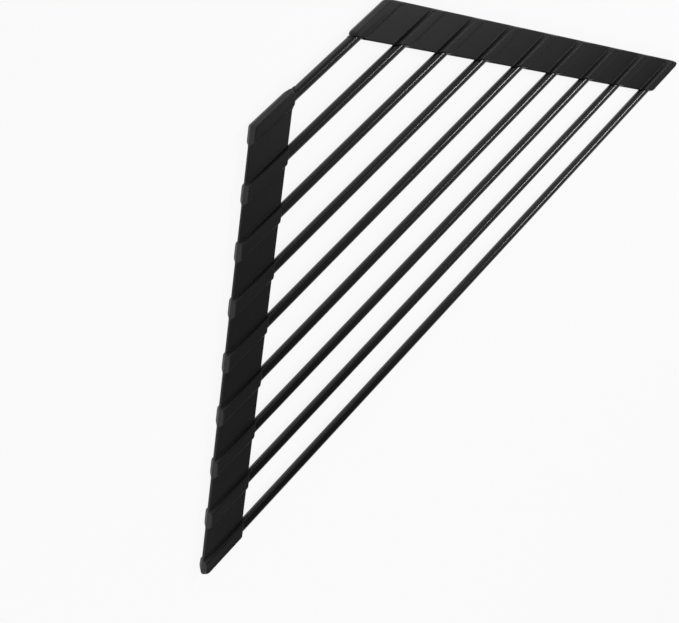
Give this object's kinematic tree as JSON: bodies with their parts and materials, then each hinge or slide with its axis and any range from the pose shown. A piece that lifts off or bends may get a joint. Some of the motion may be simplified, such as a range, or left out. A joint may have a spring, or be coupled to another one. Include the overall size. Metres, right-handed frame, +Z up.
{
  "type": "sink corner drying rack",
  "caption": "Flat roll-up rack in the shape of a trapezoid: parallel tubes held at their ends by two flexible silicone strips, to lie over the corner of a sink.",
  "frame": {"origin": "on the surface that the rack lies on, under the middle of its box", "axes": "+X along the tubes, +Y towards the shortest tube and the sink's corner, +Z up"},
  "size_m": [0.393, 0.154, 0.007],
  "materials": {
    "silicone": "matte black moulded silicone",
    "coated_steel": "black coated steel, satin"
  },
  "bodies": {
    "row_1": {"tube_1": "coated_steel", "left_socket_1": "silicone", "right_socket_1": "silicone"},
    "row_2": {"tube_2": "coated_steel", "left_socket_2": "silicone", "right_socket_2": "silicone", "left_web_1": "silicone", "right_web_1": "silicone"},
    "row_3": {"tube_3": "coated_steel", "left_socket_3": "silicone", "right_socket_3": "silicone", "left_web_2": "silicone", "right_web_2": "silicone"},
    "row_4": {"tube_4": "coated_steel", "left_socket_4": "silicone", "right_socket_4": "silicone", "left_web_3": "silicone", "right_web_3": "silicone"},
    "row_5": {"tube_5": "coated_steel", "left_socket_5": "silicone", "right_socket_5": "silicone", "left_web_4": "silicone", "right_web_4": "silicone", "left_web_5": "silicone", "right_web_5": "silicone"},
    "row_6": {"tube_6": "coated_steel", "left_socket_6": "silicone", "right_socket_6": "silicone", "left_web_6": "silicone", "right_web_6": "silicone"},
    "row_7": {"tube_7": "coated_steel", "left_socket_7": "silicone", "right_socket_7": "silicone", "left_web_7": "silicone", "right_web_7": "silicone"},
    "row_8": {"tube_8": "coated_steel", "left_socket_8": "silicone", "right_socket_8": "silicone", "left_web_8": "silicone", "right_web_8": "silicone"},
    "row_9": {"tube_9": "coated_steel", "left_socket_9": "silicone", "right_socket_9": "silicone"}
  },
  "joints": [
    {"name": "web_1_2_bend", "type": "hinge", "parent": "row_2", "child": "row_1", "pos_m": [0, 0.0644, 0.0035], "axis": [1, 0, 0], "range_deg": [-40, 40], "stiffness_Nm_per_rad": 0.011, "deforming": ["left_web_1", "right_web_1"]},
    {"name": "web_2_3_bend", "type": "hinge", "parent": "row_3", "child": "row_2", "pos_m": [0, 0.046, 0.0035], "axis": [1, 0, 0], "range_deg": [-40, 40], "stiffness_Nm_per_rad": 0.011, "deforming": ["left_web_2", "right_web_2"]},
    {"name": "web_3_4_bend", "type": "hinge", "parent": "row_4", "child": "row_3", "pos_m": [0, 0.0276, 0.0035], "axis": [1, 0, 0], "range_deg": [-40, 40], "stiffness_Nm_per_rad": 0.011, "deforming": ["left_web_3", "right_web_3"]},
    {"name": "web_4_5_bend", "type": "hinge", "parent": "row_5", "child": "row_4", "pos_m": [0, 0.0092, 0.0035], "axis": [1, 0, 0], "range_deg": [-40, 40], "stiffness_Nm_per_rad": 0.011, "deforming": ["left_web_4", "right_web_4"]},
    {"name": "web_5_6_bend", "type": "hinge", "parent": "row_5", "child": "row_6", "pos_m": [0, -0.0092, 0.0035], "axis": [-1, 0, 0], "range_deg": [-40, 40], "stiffness_Nm_per_rad": 0.011, "deforming": ["left_web_5", "right_web_5"]},
    {"name": "web_6_7_bend", "type": "hinge", "parent": "row_6", "child": "row_7", "pos_m": [0, -0.0276, 0.0035], "axis": [-1, 0, 0], "range_deg": [-40, 40], "stiffness_Nm_per_rad": 0.011, "deforming": ["left_web_6", "right_web_6"]},
    {"name": "web_7_8_bend", "type": "hinge", "parent": "row_7", "child": "row_8", "pos_m": [0, -0.046, 0.0035], "axis": [-1, 0, 0], "range_deg": [-40, 40], "stiffness_Nm_per_rad": 0.011, "deforming": ["left_web_7", "right_web_7"]},
    {"name": "web_8_9_bend", "type": "hinge", "parent": "row_8", "child": "row_9", "pos_m": [0, -0.0644, 0.0035], "axis": [-1, 0, 0], "range_deg": [-40, 40], "stiffness_Nm_per_rad": 0.011, "deforming": ["left_web_8", "right_web_8"]}
  ]
}
